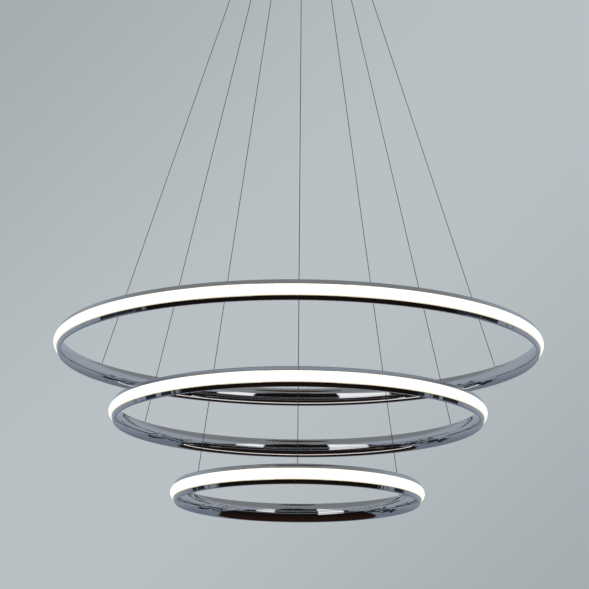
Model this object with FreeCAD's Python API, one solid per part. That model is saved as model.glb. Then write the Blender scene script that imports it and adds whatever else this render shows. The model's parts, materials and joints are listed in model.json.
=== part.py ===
import FreeCAD, Part

import math
import os

# A pendant of three concentric light rings, hung one below another from one round ceiling canopy.
# Each ring is a rolled metal channel whose groove faces outwards and is closed by a bulged opal
# diffuser, with a ribbon of light-emitting diodes on the groove's floor. Three taut steel wires
# carry each ring from push-to-release wire grippers in the canopy.
# Millimetres. Origin: centre of the ceiling plane. +Z up, -Y towards the viewer.

# ---------------------------------------------------------------- rings: overall
BIG_DIAMETER = 780.0
MEDIUM_DIAMETER = 600.0
SMALL_DIAMETER = 400.0
BIG_DROP = 740.0             # ceiling to the big ring's middle plane
MEDIUM_DROP = 848.0
SMALL_DROP = 975.0
WIRE_AZIMUTHS = {"front": -90.0, "right": 30.0, "left": 150.0}
SEAM_AZIMUTH = 90.0          # every ring's butt joint is at the back

# ---------------------------------------------------------------- ring channel section
# "Inset" is the distance inwards from the ring's largest radius.
RING_HEIGHT = 31.2
RING_DEPTH = 15.6            # diffuser crown to the innermost skin
RIM_INSET = 4.9              # the diffuser stands this far proud of the metal rims
WINDOW_HEIGHT = 17.2         # between the two rims
CREST_INSET = 8.6            # middle of the rounded top and bottom edges, where the wires land
CREST_RADIUS = 2.0
POCKET_FLOOR_INSET = 10.2
UNDERCUT_START = 6.4
UNDERCUT_WIDTH = 1.7
UNDERCUT_DEPTH = 1.1
WEB_THICKNESS = 1.2          # between the light pocket and the rear chamber
SKIN_THICKNESS = 1.4         # behind the rear chamber
CHAMBER_HEIGHT = 16.0
SEAM_GAP = 0.3

# ---------------------------------------------------------------- diffuser, light ribbon, joint key
PART_FIT = 0.1               # clearance of the pieces that snap or slide into the channel
DIFFUSER_WALL = 1.6
DIFFUSER_LEG = 1.2
STRIP_HEIGHT = 10.0
STRIP_THICKNESS = 0.35
STRIP_GAP = 3.0
CHIP_WIDTH = 3.5
CHIP_HEIGHT = 2.8
CHIP_THICKNESS = 0.8
CHIP_PITCH = 25.0
CHIP_SEAT = 0.01
KEY_LENGTH = 60.0
KEY_SCREW_RADIUS = 1.45
KEY_SCREW_SPACING = 14.0
KEY_SCREWS_EACH_SIDE = 2
KEY_SCREW_LENGTH = 3.0
SCREW_FIT = 0.05

# ---------------------------------------------------------------- wires and their ends
WIRE_DIAMETER = 1.2
FERRULE_RADIUS = 1.25
FERRULE_SEAT_DEPTH = 4.3
FERRULE_PROUD = 0.8
BIG_EXIT_RADIUS = 120.0      # where the wires leave the canopy
MEDIUM_EXIT_RADIUS = 82.0
SMALL_EXIT_RADIUS = 48.0
WIRE_TAIL_TOP = 30.0         # the spare tail ends this far below the ceiling

# ---------------------------------------------------------------- canopy
CANOPY_DIAMETER = 300.0
CANOPY_HEIGHT = 50.0
CANOPY_SHEET = 1.2
CANOPY_EDGE_RADIUS = 8.0
BRACKET_LENGTH = 250.0
BRACKET_WIDTH = 32.0
BRACKET_SHEET = 2.0
CEILING_SCREW_SPACING = 120.0
CEILING_SCREW_HOLE_RADIUS = 2.75
STUD_SPACING = 220.0
STUD_RADIUS = 2.0
STUD_REACH = 7.0             # below the canopy
THREAD_FIT = 0.02
HOLE_FIT = 0.2
STUD_NUT_HEIGHT = 3.2
STUD_NUT_FLATS = 7.0
CAP_NUT_HEX_HEIGHT = 4.0
CAP_NUT_ROOM = 0.5

# ---------------------------------------------------------------- wire gripper
GRIPPER_RADIUS = 4.5
GRIPPER_LENGTH = 14.0        # below the canopy
GRIPPER_NOSE_CHAMFER = 0.8
SHANK_RADIUS = 3.4
SHANK_LENGTH = 10.0          # above the canopy's underside
GRIPPER_NUT_FLATS = 10.0
GRIPPER_NUT_HEIGHT = 3.0
WIRE_BORE_RADIUS = 0.9
SLEEVE_RADIUS = 2.5
SLEEVE_FIT = 0.05
SLEEVE_SOCKET_DEPTH = 8.0
SLEEVE_TRAVEL = 2.0
SLEEVE_END_GAP = 0.2
SLEEVE_STICK_OUT = 3.0
SLEEVE_FLANGE_RADIUS = 3.2
SLEEVE_FLANGE_HEIGHT = 1.0

# ---------------------------------------------------------------- what the canopy holds
DRIVER_LENGTH = 96.0
DRIVER_WIDTH = 34.0
DRIVER_HEIGHT = 22.0
DRIVER_MARGIN = 58.0         # from the canopy's edge to the drivers' middles
DRIVER_AZIMUTHS = {"big": 90.0, "medium": -30.0, "small": 210.0}
DRIVER_EDGE_RADIUS = 2.0
PAD_LENGTH = 60.0
PAD_WIDTH = 22.0
PAD_THICKNESS = 1.0
GROMMET_BORE_RADIUS = 4.0
GROMMET_NECK_RADIUS = 8.0
GROMMET_FLANGE_RADIUS = 10.0
GROMMET_FLANGE_HEIGHT = 2.0
TERMINAL_LENGTH = 30.0
TERMINAL_WIDTH = 18.0
TERMINAL_HEIGHT = 13.0
TERMINAL_OFFSET = 32.0
TERMINAL_POLES = 3
TERMINAL_SCREW_RADIUS = 1.7
TERMINAL_SCREW_LENGTH = 5.0
TERMINAL_ROW_OFFSET = 5.0
EARTH_SCREW_OFFSET = -36.0
EARTH_SCREW_RADIUS = 2.0
EARTH_SCREW_HEAD_RADIUS = 3.8
EARTH_SCREW_HEAD_HEIGHT = 2.6
EARTH_SCREW_LENGTH = 1.5

# ---------------------------------------------------------------- worked out from the above
UP = FreeCAD.Vector(0, 0, 1)
ORIGIN = FreeCAD.Vector(0, 0, 0)
FULL_TURN = 360.0
HALF_HEIGHT = RING_HEIGHT / 2
HALF_WINDOW = WINDOW_HEIGHT / 2
UNDERCUT_END = UNDERCUT_START + UNDERCUT_WIDTH
CREST_CENTRE_HEIGHT = HALF_HEIGHT - CREST_RADIUS
GRIPPER_NOSE = CANOPY_HEIGHT + GRIPPER_LENGTH
WIRE_EXIT_DROP = GRIPPER_NOSE + SLEEVE_STICK_OUT + SLEEVE_FLANGE_HEIGHT
CANOPY_FLOOR = CANOPY_HEIGHT - CANOPY_SHEET
STUD_TIP = CANOPY_HEIGHT + STUD_REACH
DRIVER_CIRCLE_RADIUS = CANOPY_DIAMETER / 2 - DRIVER_MARGIN
RINGS = {
    "big": (BIG_DIAMETER / 2, BIG_DROP, BIG_EXIT_RADIUS),
    "medium": (MEDIUM_DIAMETER / 2, MEDIUM_DROP, MEDIUM_EXIT_RADIUS),
    "small": (SMALL_DIAMETER / 2, SMALL_DROP, SMALL_EXIT_RADIUS),
}


def inner_arc_radius():
    """Radius of the ring's rounded inner face, which is tangent to both rounded edges."""
    reach = RING_DEPTH - CREST_INSET
    top = CREST_CENTRE_HEIGHT ** 2 + reach ** 2 - CREST_RADIUS ** 2
    return top / (2 * (reach - CREST_RADIUS))


INNER_ARC_RADIUS = inner_arc_radius()
INNER_ARC_CENTRE = RING_DEPTH - INNER_ARC_RADIUS


def vector(x, y, z):
    """A point or direction."""
    return FreeCAD.Vector(x, y, z)


def polar(radius, azimuth, z):
    """A point given by its radius, its azimuth in degrees and its height."""
    angle = math.radians(azimuth)
    return vector(radius * math.cos(angle), radius * math.sin(angle), z)


def line(start, end):
    """A straight edge."""
    return Part.LineSegment(start, end).toShape()


def arc(start, middle, end):
    """A circular edge through three points."""
    return Part.Arc(start, middle, end).toShape()


def outline(points):
    """A closed wire of straight edges."""
    return Part.makePolygon(list(points) + [points[0]])


def disc(radius, centre):
    """A flat horizontal disc."""
    return Part.Face(Part.Wire(Part.makeCircle(radius, centre, UP)))


def cylinder(radius, bottom, top, x=0.0, y=0.0):
    """An upright cylinder between two heights."""
    return Part.makeCylinder(radius, top - bottom, vector(x, y, bottom), UP)


def box(size_x, size_y, size_z, centre_x, centre_y, bottom):
    """An upright box centred on a point of its base."""
    corner = vector(centre_x - size_x / 2, centre_y - size_y / 2, bottom)
    return Part.makeBox(size_x, size_y, size_z, corner)


def turned(shape, azimuth):
    """The same shape turned about the fixture's axis."""
    copy = shape.copy()
    copy.rotate(ORIGIN, UP, azimuth)
    return copy


def moved(shape, x, y, z):
    """The same shape shifted."""
    copy = shape.copy()
    copy.translate(vector(x, y, z))
    return copy


def hexagon(flats, bottom, top):
    """An upright hexagonal prism across its flats."""
    corner = flats / math.sqrt(3)
    points = [polar(corner, side * FULL_TURN / 6, bottom) for side in range(6)]
    return Part.Face(outline(points)).extrude(vector(0, 0, top - bottom))


def group(shapes):
    """Separate solids kept in one node."""
    return Part.makeCompound(shapes)


def section_point(ring_radius, inset, height):
    """A point of a ring's section, in the plane of azimuth zero."""
    return vector(ring_radius - inset, 0, height)


def swept_ring(section, drop, gap=0.0):
    """A section revolved into a ring at its height, open by a gap at the seam."""
    radius = section.BoundBox.XMax
    opening = math.degrees(gap / radius)
    ring = section.revolve(ORIGIN, UP, FULL_TURN - opening)
    ring.rotate(ORIGIN, UP, SEAM_AZIMUTH + opening / 2)
    ring.translate(vector(0, 0, -drop))
    return ring


def rounded_edge_points():
    """Where the sloping rim and the inner face touch the rounded edge, and that edge's crest."""
    across = CREST_INSET - RIM_INSET
    rise = CREST_CENTRE_HEIGHT - HALF_WINDOW
    span = math.hypot(across, rise)
    slope = math.atan2(rise, across) + math.asin(CREST_RADIUS / span)
    rim = (
        CREST_INSET - CREST_RADIUS * math.sin(slope),
        CREST_CENTRE_HEIGHT + CREST_RADIUS * math.cos(slope),
    )
    reach = INNER_ARC_RADIUS - CREST_RADIUS
    inner = (
        INNER_ARC_CENTRE + (CREST_INSET - INNER_ARC_CENTRE) * INNER_ARC_RADIUS / reach,
        CREST_CENTRE_HEIGHT * INNER_ARC_RADIUS / reach,
    )
    return rim, (CREST_INSET, HALF_HEIGHT), inner


def channel_outline(radius):
    """The channel's outer outline, with the light pocket and its two undercuts."""
    rim, crest, inner = rounded_edge_points()

    def at(inset, height):
        return section_point(radius, inset, height)

    pocket = [
        (RIM_INSET, -HALF_WINDOW),
        (UNDERCUT_START, -HALF_WINDOW),
        (UNDERCUT_START, -HALF_WINDOW - UNDERCUT_DEPTH),
        (UNDERCUT_END, -HALF_WINDOW - UNDERCUT_DEPTH),
        (UNDERCUT_END, -HALF_WINDOW),
        (POCKET_FLOOR_INSET, -HALF_WINDOW),
        (POCKET_FLOOR_INSET, HALF_WINDOW),
        (UNDERCUT_END, HALF_WINDOW),
        (UNDERCUT_END, HALF_WINDOW + UNDERCUT_DEPTH),
        (UNDERCUT_START, HALF_WINDOW + UNDERCUT_DEPTH),
        (UNDERCUT_START, HALF_WINDOW),
        (RIM_INSET, HALF_WINDOW),
    ]
    edges = [line(at(*a), at(*b)) for a, b in zip(pocket, pocket[1:])]
    edges.append(line(at(RIM_INSET, HALF_WINDOW), at(*rim)))
    edges.append(arc(at(*rim), at(*crest), at(*inner)))
    edges.append(arc(at(*inner), at(RING_DEPTH, 0), at(inner[0], -inner[1])))
    edges.append(arc(at(inner[0], -inner[1]), at(crest[0], -crest[1]), at(rim[0], -rim[1])))
    edges.append(line(at(rim[0], -rim[1]), at(RIM_INSET, -HALF_WINDOW)))
    return Part.Wire(edges)


def chamber_outline(radius, shrink):
    """The rear chamber's section, or that of what fills it with a clearance all round."""
    half = CHAMBER_HEIGHT / 2 - shrink
    front = POCKET_FLOOR_INSET + WEB_THICKNESS + shrink
    back_radius = INNER_ARC_RADIUS - SKIN_THICKNESS - shrink
    corner = INNER_ARC_CENTRE + math.sqrt(back_radius ** 2 - half ** 2)

    def at(inset, height):
        return section_point(radius, inset, height)

    edges = [
        line(at(front, -half), at(front, half)),
        line(at(front, half), at(corner, half)),
        arc(at(corner, half), at(INNER_ARC_CENTRE + back_radius, 0), at(corner, -half)),
        line(at(corner, -half), at(front, -half)),
    ]
    return Part.Wire(edges)


def key_screw_angles(radius):
    """Azimuths of the joint key's screws, on both sides of the seam."""
    step = math.degrees(KEY_SCREW_SPACING / radius)
    places = [(index + 0.5) * step for index in range(KEY_SCREWS_EACH_SIDE)]
    return [SEAM_AZIMUTH + side * place for place in places for side in (1, -1)]


def radial_peg(ring_radius, outer_inset, inner_inset, peg_radius, azimuth, drop):
    """A radial cylinder between two insets."""
    start = polar(ring_radius - inner_inset, azimuth, -drop)
    return Part.makeCylinder(peg_radius, inner_inset - outer_inset, start, polar(1.0, azimuth, 0))


def ferrule(radius, drop, azimuth, extra_radius=0.0, bottom_room=0.0, top=FERRULE_PROUD):
    """A wire's turned end, seated in the ring's crest, or the hole that it seats in."""
    place = polar(radius - CREST_INSET, azimuth, 0)
    crest = HALF_HEIGHT - drop
    bottom = crest - FERRULE_SEAT_DEPTH - bottom_room
    return cylinder(FERRULE_RADIUS + extra_radius, bottom, crest + top, place.x, place.y)


def channel(radius, drop):
    """The rolled metal channel, open outwards, with a closed chamber behind the light pocket."""
    section = Part.Face(channel_outline(radius)).cut(Part.Face(chamber_outline(radius, 0.0)))
    ring = swept_ring(section.Faces[0], drop, SEAM_GAP)
    cuts = [ferrule(radius, drop, azimuth, SCREW_FIT, SCREW_FIT) for azimuth in WIRE_AZIMUTHS.values()]
    web_back = POCKET_FLOOR_INSET + WEB_THICKNESS + PART_FIT
    hole = KEY_SCREW_RADIUS + SCREW_FIT
    web_front = POCKET_FLOOR_INSET - PART_FIT
    for azimuth in key_screw_angles(radius):
        cuts.append(radial_peg(radius, web_front, web_back, hole, azimuth, drop))
    return ring.cut(group(cuts))


def joint_key(radius, drop):
    """The curved key inside the rear chamber that holds the ring's two ends together."""
    section = Part.Face(chamber_outline(radius, PART_FIT))
    sweep = math.degrees(KEY_LENGTH / radius)
    key = section.revolve(ORIGIN, UP, sweep)
    key.rotate(ORIGIN, UP, SEAM_AZIMUTH - sweep / 2)
    key.translate(vector(0, 0, -drop))
    front = POCKET_FLOOR_INSET
    back = POCKET_FLOOR_INSET + KEY_SCREW_LENGTH + PART_FIT
    hole = KEY_SCREW_RADIUS + SCREW_FIT
    return key.cut(group([radial_peg(radius, front, back, hole, a, drop) for a in key_screw_angles(radius)]))


def key_screws(radius, drop):
    """Grub screws that pass the web and bite into the joint key."""
    start = POCKET_FLOOR_INSET + SCREW_FIT
    end = POCKET_FLOOR_INSET + KEY_SCREW_LENGTH
    angles = key_screw_angles(radius)
    return group([radial_peg(radius, start, end, KEY_SCREW_RADIUS, angle, drop) for angle in angles])


def diffuser_face(radius):
    """The opal profile's section: a round bulge on two legs whose feet snap into the undercuts."""
    half = HALF_WINDOW - PART_FIT
    bulge = (half ** 2 + RIM_INSET ** 2) / (2 * RIM_INSET)
    inside = bulge - DIFFUSER_WALL
    leg = half - DIFFUSER_LEG
    shoulder = bulge - math.sqrt(inside ** 2 - leg ** 2)
    foot_start = UNDERCUT_START + PART_FIT
    foot_end = UNDERCUT_END - PART_FIT
    foot = half + UNDERCUT_DEPTH

    def at(inset, height):
        return section_point(radius, inset, height)

    half_path = [(RIM_INSET, half), (foot_start, half), (foot_start, foot), (foot_end, foot),
                 (foot_end, leg), (shoulder, leg)]
    edges = [arc(at(RIM_INSET, -half), at(0, 0), at(RIM_INSET, half))]
    edges += [line(at(*a), at(*b)) for a, b in zip(half_path, half_path[1:])]
    edges.append(arc(at(shoulder, leg), at(DIFFUSER_WALL, 0), at(shoulder, -leg)))
    mirror_path = [(inset, -height) for inset, height in reversed(half_path)]
    edges += [line(at(*a), at(*b)) for a, b in zip(mirror_path, mirror_path[1:])]
    return Part.Face(Part.Wire(edges))


def diffuser(radius, drop):
    """The opal band that closes the channel's outer side."""
    return swept_ring(diffuser_face(radius), drop)


def led_strip(radius, drop):
    """The flexible circuit ribbon on the light pocket's floor."""
    back = POCKET_FLOOR_INSET - SCREW_FIT
    front = back - STRIP_THICKNESS
    half = STRIP_HEIGHT / 2
    corners = [(front, -half), (front, half), (back, half), (back, -half)]
    section = Part.Face(outline([section_point(radius, *corner) for corner in corners]))
    return swept_ring(section, drop, STRIP_GAP)


def led_chips(radius, drop):
    """The diode packages, evenly spaced on the ribbon."""
    seat = radius - POCKET_FLOOR_INSET + SCREW_FIT + STRIP_THICKNESS + CHIP_SEAT
    count = int(2 * math.pi * seat / CHIP_PITCH)
    middle = seat + CHIP_THICKNESS / 2
    chip = box(CHIP_THICKNESS, CHIP_WIDTH, CHIP_HEIGHT, middle, 0, -drop - CHIP_HEIGHT / 2)
    step = FULL_TURN / count
    return group([turned(chip, SEAM_AZIMUTH + (index + 0.5) * step) for index in range(count)])


def wire_ferrules(radius, drop):
    """The three turned wire ends seated in a ring's top edge."""
    return group([ferrule(radius, drop, azimuth) for azimuth in WIRE_AZIMUTHS.values()])


def wire(radius, drop, exit_radius, azimuth):
    """A taut wire from a ring's ferrule to its gripper, with its spare tail inside the canopy."""
    foot_height = HALF_HEIGHT + FERRULE_PROUD - drop
    foot = polar(radius - CREST_INSET, azimuth, foot_height)
    exit_point = polar(exit_radius, azimuth, -WIRE_EXIT_DROP)
    run = disc(WIRE_DIAMETER / 2, foot).extrude(exit_point - foot)
    tail = cylinder(WIRE_DIAMETER / 2, -WIRE_EXIT_DROP, -WIRE_TAIL_TOP, exit_point.x, exit_point.y)
    return run.fuse(tail)


def gripper_body(exit_radius, azimuth):
    """The turned housing of one wire gripper, screwed through the canopy."""
    place = polar(exit_radius, azimuth, 0)
    barrel = Part.makeCylinder(GRIPPER_RADIUS, GRIPPER_LENGTH, vector(0, 0, -GRIPPER_NOSE), UP)
    low_edges = [e for e in barrel.Edges if e.BoundBox.ZMax < -GRIPPER_NOSE + GRIPPER_NOSE_CHAMFER]
    barrel = barrel.makeChamfer(GRIPPER_NOSE_CHAMFER, low_edges)
    shank = cylinder(SHANK_RADIUS, -CANOPY_HEIGHT, SHANK_LENGTH - CANOPY_HEIGHT)
    bore = cylinder(WIRE_BORE_RADIUS, -GRIPPER_NOSE, SHANK_LENGTH - CANOPY_HEIGHT)
    socket = cylinder(SLEEVE_RADIUS + SLEEVE_FIT, -GRIPPER_NOSE, SLEEVE_SOCKET_DEPTH - GRIPPER_NOSE)
    return moved(barrel.fuse(shank).cut(group([bore, socket])), place.x, place.y, 0)


def gripper_bodies(exit_radius):
    """The three gripper housings of one ring."""
    return group([gripper_body(exit_radius, azimuth) for azimuth in WIRE_AZIMUTHS.values()])


def gripper_nuts():
    """The hexagon nuts that hold every gripper in the canopy's floor."""
    blank = hexagon(GRIPPER_NUT_FLATS, -CANOPY_FLOOR, GRIPPER_NUT_HEIGHT - CANOPY_FLOOR)
    hole = cylinder(SHANK_RADIUS + THREAD_FIT, -CANOPY_FLOOR, GRIPPER_NUT_HEIGHT - CANOPY_FLOOR)
    nut = blank.cut(hole)
    nuts = []
    for _, _, exit_radius in RINGS.values():
        for azimuth in WIRE_AZIMUTHS.values():
            nuts.append(turned(moved(nut, exit_radius, 0, 0), azimuth))
    return group(nuts)


def release_sleeve(exit_radius, azimuth):
    """The small sleeve that frees the wire when it is pushed up into its gripper."""
    place = polar(exit_radius, azimuth, 0)
    top = SLEEVE_SOCKET_DEPTH - SLEEVE_TRAVEL - SLEEVE_END_GAP - GRIPPER_NOSE
    flange_top = -GRIPPER_NOSE - SLEEVE_STICK_OUT
    tube = cylinder(SLEEVE_RADIUS, flange_top, top)
    flange = cylinder(SLEEVE_FLANGE_RADIUS, -WIRE_EXIT_DROP, flange_top)
    bore = cylinder(WIRE_BORE_RADIUS, -WIRE_EXIT_DROP, top)
    return moved(tube.fuse(flange).cut(bore), place.x, place.y, 0)


def canopy_cover():
    """The pressed round cover whose floor carries every gripper."""
    outer = CANOPY_DIAMETER / 2
    inner = outer - CANOPY_SHEET
    bend = outer - CANOPY_EDGE_RADIUS
    shallow = CANOPY_HEIGHT - CANOPY_EDGE_RADIUS
    diagonal = math.sqrt(0.5)
    inside_bend = CANOPY_EDGE_RADIUS - CANOPY_SHEET

    def at(radius, depth):
        return vector(radius, 0, -depth)

    edges = [
        line(at(0, CANOPY_HEIGHT), at(bend, CANOPY_HEIGHT)),
        arc(at(bend, CANOPY_HEIGHT),
            at(bend + CANOPY_EDGE_RADIUS * diagonal, shallow + CANOPY_EDGE_RADIUS * diagonal),
            at(outer, shallow)),
        line(at(outer, shallow), at(outer, 0)),
        line(at(outer, 0), at(inner, 0)),
        line(at(inner, 0), at(inner, shallow)),
        arc(at(inner, shallow),
            at(bend + inside_bend * diagonal, shallow + inside_bend * diagonal),
            at(bend, CANOPY_FLOOR)),
        line(at(bend, CANOPY_FLOOR), at(0, CANOPY_FLOOR)),
        line(at(0, CANOPY_FLOOR), at(0, CANOPY_HEIGHT)),
    ]
    dish = Part.Face(Part.Wire(edges)).revolve(ORIGIN, UP, FULL_TURN)
    holes = []
    for _, _, exit_radius in RINGS.values():
        for azimuth in WIRE_AZIMUTHS.values():
            place = polar(exit_radius, azimuth, 0)
            holes.append(cylinder(SHANK_RADIUS + HOLE_FIT, -CANOPY_HEIGHT, -CANOPY_FLOOR, place.x, place.y))
    for x in stud_places():
        holes.append(cylinder(STUD_RADIUS + HOLE_FIT, -CANOPY_HEIGHT, -CANOPY_FLOOR, x))
    return dish.cut(group(holes))


def stud_places():
    """The two cover studs' places along X."""
    return (-STUD_SPACING / 2, STUD_SPACING / 2)


def ceiling_bracket():
    """The flat bar that is screwed to the ceiling and carries the cover's studs."""
    bar = box(BRACKET_LENGTH, BRACKET_WIDTH, BRACKET_SHEET, 0, 0, -BRACKET_SHEET)
    cuts = [cylinder(GROMMET_NECK_RADIUS + PART_FIT, -BRACKET_SHEET, 0)]
    for side in (-1, 1):
        place = side * CEILING_SCREW_SPACING / 2
        cuts.append(cylinder(CEILING_SCREW_HOLE_RADIUS, -BRACKET_SHEET, 0, place))
    for x in stud_places():
        cuts.append(cylinder(STUD_RADIUS + THREAD_FIT, -BRACKET_SHEET, 0, x))
    cuts.append(cylinder(EARTH_SCREW_RADIUS + THREAD_FIT, -BRACKET_SHEET, 0, EARTH_SCREW_OFFSET))
    return bar.cut(group(cuts))


def cover_studs():
    """The two threaded rods that the cover hangs on."""
    return group([cylinder(STUD_RADIUS, -STUD_TIP, 0, x) for x in stud_places()])


def stud_nuts():
    """The nuts that lock the studs under the bracket."""
    bottom = -BRACKET_SHEET - STUD_NUT_HEIGHT
    blank = hexagon(STUD_NUT_FLATS, bottom, -BRACKET_SHEET)
    nut = blank.cut(cylinder(STUD_RADIUS + THREAD_FIT, bottom, -BRACKET_SHEET))
    return group([moved(nut, x, 0, 0) for x in stud_places()])


def cap_nuts():
    """The domed nuts that clamp the cover on its studs."""
    top = -CANOPY_HEIGHT
    hex_bottom = top - CAP_NUT_HEX_HEIGHT
    dome_radius = STUD_NUT_FLATS / 2
    dome_middle = -STUD_TIP - CAP_NUT_ROOM
    blank = hexagon(STUD_NUT_FLATS, hex_bottom, top)
    neck = cylinder(dome_radius, dome_middle, hex_bottom)
    dome = Part.makeSphere(dome_radius, vector(0, 0, dome_middle))
    nut = blank.fuse([neck, dome]).cut(cylinder(STUD_RADIUS + THREAD_FIT, dome_middle, top))
    return group([moved(nut, x, 0, 0) for x in stud_places()])


def mains_grommet():
    """The soft ring that lines the bracket's cable hole."""
    bottom = -BRACKET_SHEET - GROMMET_FLANGE_HEIGHT
    neck = cylinder(GROMMET_NECK_RADIUS, -BRACKET_SHEET, 0)
    flange = cylinder(GROMMET_FLANGE_RADIUS, bottom, -BRACKET_SHEET)
    return neck.fuse(flange).cut(cylinder(GROMMET_BORE_RADIUS, bottom, 0))


def terminal_screw_places():
    """Where the terminal block's screws stand."""
    pitch = TERMINAL_LENGTH / TERMINAL_POLES
    places = []
    for pole in range(TERMINAL_POLES):
        x = TERMINAL_OFFSET + (pole - (TERMINAL_POLES - 1) / 2) * pitch
        places += [(x, TERMINAL_ROW_OFFSET), (x, -TERMINAL_ROW_OFFSET)]
    return places


def terminal_bottom():
    """Height of the terminal block's lower face."""
    return -BRACKET_SHEET - TERMINAL_HEIGHT


def terminal_block():
    """The mains terminal block under the bracket."""
    block = box(TERMINAL_LENGTH, TERMINAL_WIDTH, TERMINAL_HEIGHT, TERMINAL_OFFSET, 0, terminal_bottom())
    room = TERMINAL_SCREW_RADIUS + PART_FIT
    deep = terminal_bottom() + TERMINAL_SCREW_LENGTH
    places = terminal_screw_places()
    return block.cut(group([cylinder(room, terminal_bottom(), deep, x, y) for x, y in places]))


def terminal_screws():
    """The clamping screws of the terminal block."""
    low = terminal_bottom() + PART_FIT
    high = terminal_bottom() + TERMINAL_SCREW_LENGTH
    return group([cylinder(TERMINAL_SCREW_RADIUS, low, high, x, y) for x, y in terminal_screw_places()])


def earth_screw():
    """The protective earth screw on the bracket."""
    tip = EARTH_SCREW_LENGTH - BRACKET_SHEET
    shank = cylinder(EARTH_SCREW_RADIUS, -BRACKET_SHEET, tip, EARTH_SCREW_OFFSET)
    low = -BRACKET_SHEET - EARTH_SCREW_HEAD_HEIGHT
    return shank.fuse(cylinder(EARTH_SCREW_HEAD_RADIUS, low, -BRACKET_SHEET, EARTH_SCREW_OFFSET))


def driver(azimuth):
    """One ring's constant-current driver, lying on its pad in the canopy."""
    bottom = PAD_THICKNESS - CANOPY_FLOOR
    case = box(DRIVER_WIDTH, DRIVER_LENGTH, DRIVER_HEIGHT, DRIVER_CIRCLE_RADIUS, 0, bottom)
    upright = [e for e in case.Edges if e.BoundBox.ZLength > DRIVER_HEIGHT / 2]
    return turned(case.makeFillet(DRIVER_EDGE_RADIUS, upright), azimuth)


def driver_pads():
    """The adhesive pads that hold the drivers on the canopy's floor."""
    pad = box(PAD_WIDTH, PAD_LENGTH, PAD_THICKNESS, DRIVER_CIRCLE_RADIUS, 0, -CANOPY_FLOOR)
    return group([turned(pad, azimuth) for azimuth in DRIVER_AZIMUTHS.values()])


def ring_nodes(name):
    """Every node of one ring, its wires and its grippers."""
    radius, drop, exit_radius = RINGS[name]
    nodes = {
        "channel": channel(radius, drop),
        "diffuser": diffuser(radius, drop),
        "led_strip": led_strip(radius, drop),
        "led_chips": led_chips(radius, drop),
        "joint_key": joint_key(radius, drop),
        "key_screws": key_screws(radius, drop),
        "wire_ferrules": wire_ferrules(radius, drop),
        "gripper_bodies": gripper_bodies(exit_radius),
    }
    for side, azimuth in WIRE_AZIMUTHS.items():
        nodes["wire_" + side] = wire(radius, drop, exit_radius, azimuth)
        nodes["release_sleeve_" + side] = release_sleeve(exit_radius, azimuth)
    return {name + "_" + part: shape for part, shape in nodes.items()}


def canopy_nodes():
    """Every node of the ceiling canopy."""
    nodes = {
        "ceiling_bracket": ceiling_bracket(),
        "canopy_cover": canopy_cover(),
        "cover_studs": cover_studs(),
        "stud_nuts": stud_nuts(),
        "cap_nuts": cap_nuts(),
        "gripper_nuts": gripper_nuts(),
        "mains_grommet": mains_grommet(),
        "terminal_block": terminal_block(),
        "terminal_screws": terminal_screws(),
        "earth_screw": earth_screw(),
        "driver_pads": driver_pads(),
    }
    for name, azimuth in DRIVER_AZIMUTHS.items():
        nodes[name + "_driver"] = driver(azimuth)
    return nodes


def main():
    """Build every node and write each to its own file."""
    os.makedirs("parts", exist_ok=True)
    nodes = canopy_nodes()
    for name in RINGS:
        nodes.update(ring_nodes(name))
    for name, shape in sorted(nodes.items()):
        shape.exportStep(os.path.join("parts", name + ".step"))
        print(name, len(shape.Solids), "solids", round(shape.Volume, 1), "mm3", shape.isValid())


main()
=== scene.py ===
import json
import logging
import math
from dataclasses import dataclass, field
from enum import Enum
from typing import Any, Iterable, Sequence

import bpy
from mathutils import Matrix, Vector

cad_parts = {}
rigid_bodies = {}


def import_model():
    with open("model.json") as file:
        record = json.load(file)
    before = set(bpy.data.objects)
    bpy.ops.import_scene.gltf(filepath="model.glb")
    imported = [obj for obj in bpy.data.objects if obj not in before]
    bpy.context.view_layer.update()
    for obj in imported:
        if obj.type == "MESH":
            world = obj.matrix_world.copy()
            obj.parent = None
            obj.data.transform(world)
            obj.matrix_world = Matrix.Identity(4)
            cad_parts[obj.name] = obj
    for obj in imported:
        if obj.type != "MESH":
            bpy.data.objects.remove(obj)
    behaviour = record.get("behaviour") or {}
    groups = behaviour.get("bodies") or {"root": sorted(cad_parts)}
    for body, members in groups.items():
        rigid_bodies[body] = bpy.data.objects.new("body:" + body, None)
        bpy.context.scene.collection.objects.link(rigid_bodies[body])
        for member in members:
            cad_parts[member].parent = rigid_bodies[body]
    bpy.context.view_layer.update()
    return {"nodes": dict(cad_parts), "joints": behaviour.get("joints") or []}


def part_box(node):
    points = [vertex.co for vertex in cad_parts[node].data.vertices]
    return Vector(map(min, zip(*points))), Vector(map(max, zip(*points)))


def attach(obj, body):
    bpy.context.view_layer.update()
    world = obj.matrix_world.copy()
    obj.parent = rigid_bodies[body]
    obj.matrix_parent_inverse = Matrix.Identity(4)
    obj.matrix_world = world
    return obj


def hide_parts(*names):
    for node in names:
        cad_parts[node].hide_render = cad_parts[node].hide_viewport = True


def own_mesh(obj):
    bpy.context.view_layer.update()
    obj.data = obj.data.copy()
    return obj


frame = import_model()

LOG = logging.getLogger("ring_pendant")

Colour = tuple[float, float, float]
Place = tuple[float, float, float]
Point = tuple[float, float]
Span = tuple[float, float]

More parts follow.
